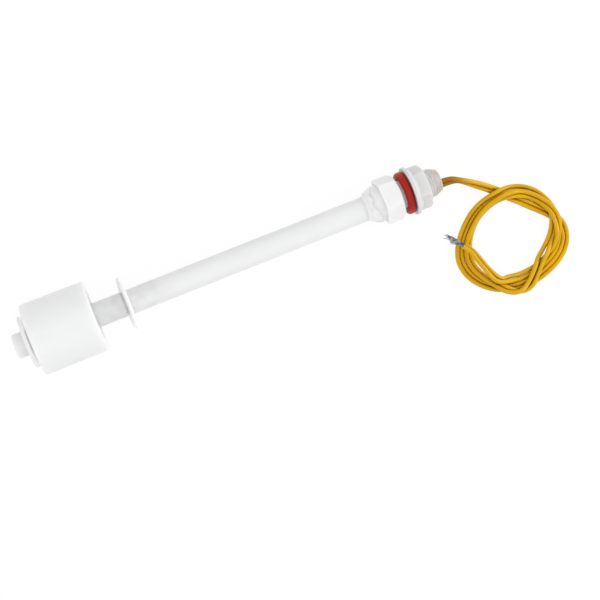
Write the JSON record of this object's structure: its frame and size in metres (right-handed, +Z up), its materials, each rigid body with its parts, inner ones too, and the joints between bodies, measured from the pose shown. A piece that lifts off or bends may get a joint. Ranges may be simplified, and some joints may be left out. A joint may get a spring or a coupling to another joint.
{
  "type": "float level switch",
  "caption": "Slim plastic float level switch with a sliding magnetic float on a stem, a threaded fitting with gasket and flange nut, and coiled connecting wires.",
  "frame": {"origin": "on the ground under the middle of the rigid part's box, as it lies at rest", "axes": "+X along the switch from the float's tip towards the thread, +Z up, +Y away from the coiled wires"},
  "size_m": [0.1921, 0.0613, 0.0255],
  "materials": {
    "white_plastic": "satin",
    "cement": "matte",
    "red_rubber": "satin",
    "resin": "gloss",
    "magnet": "matte",
    "reed_glass": "clear",
    "reed_metal": "satin",
    "solder": "satin",
    "black_sleeve": "matte",
    "yellow_insulation": "satin",
    "tinned_copper": "satin"
  },
  "bodies": {
    "root": {"stem_tube": "white_plastic", "lower_clip": "white_plastic", "upper_clip": "white_plastic", "mounting_body": "white_plastic", "glue_bead": "cement", "potting_resin": "resin", "reed_glass": "reed_glass", "reed_blade_lower": "reed_metal", "reed_blade_upper": "reed_metal", "solder_joint_upper": "solder", "solder_joint_lower": "solder", "shrink_sleeve_upper": "black_sleeve", "shrink_sleeve_lower": "black_sleeve", "inner_wire_a": "yellow_insulation", "inner_wire_b": "yellow_insulation", "wire_a_lead": "yellow_insulation", "wire_b_lead": "yellow_insulation", "wire_coil": "yellow_insulation", "wire_a_tail": "yellow_insulation", "wire_b_tail": "yellow_insulation", "bare_end_a": "tinned_copper", "bare_end_b": "tinned_copper"},
    "float_magnet": {"ring_magnet": "magnet"},
    "float": {"float_shell": "white_plastic", "float_lid": "white_plastic"},
    "gasket": {"gasket": "red_rubber"},
    "nut": {"flange_nut": "white_plastic"}
  },
  "joints": [
    {"name": "float_slide", "type": "slide", "parent": "root", "child": "float_magnet", "axis": [0.9995, 0, -0.0319], "range_m": [-0.00097, 0.00978]},
    {"name": "float_spin", "type": "hinge", "parent": "float_magnet", "child": "float", "pos_m": [-0.06004, 0, 0.01264], "axis": [0.9995, 0, -0.0319], "continuous": true},
    {"name": "gasket_slide", "type": "slide", "parent": "root", "child": "gasket", "axis": [0.9995, 0, -0.0319], "range_m": [-0.00105, 0.0052]},
    {"name": "nut_turn", "type": "hinge", "parent": "gasket", "child": "nut", "pos_m": [0.06875, 0, 0.00853], "axis": [0.9995, 0, -0.0319], "range_deg": [-380, 1874]}
  ],
  "couplings": [
    {"joint": "nut_turn", "follows": "gasket_slide", "rad_per_m": 6283.2}
  ]
}
